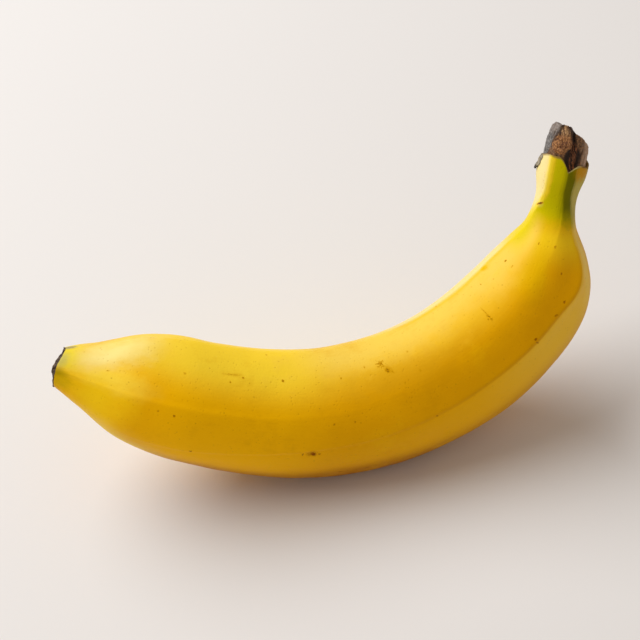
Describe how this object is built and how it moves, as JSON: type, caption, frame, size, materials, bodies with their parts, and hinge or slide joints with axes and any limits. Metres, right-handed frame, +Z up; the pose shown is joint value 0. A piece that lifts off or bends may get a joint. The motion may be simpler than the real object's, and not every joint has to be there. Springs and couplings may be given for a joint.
{
  "type": "unpeeled banana",
  "caption": "Whole ripe banana in its yellow skin, lying on its outer curve, with a dried brown stem crown and a dark blossom tip.",
  "frame": {"origin": "bottom centre of the fruit's box, in the plane of the flat spot that it rests on", "axes": "+X runs level from the blossom tip end towards the stem end, +Z is up, and -Y faces the front of the plane that the fruit bends in, which leans back towards +Y"},
  "size_m": [0.1604, 0.0508, 0.0888],
  "materials": {
    "banana_skin": "waxy satin fruit skin, bright yellow with small brown flecks, greener at the neck, dried brown at the stem crown and blossom tip"
  },
  "bodies": {
    "root": {"banana": "banana_skin"}
  },
  "joints": []
}
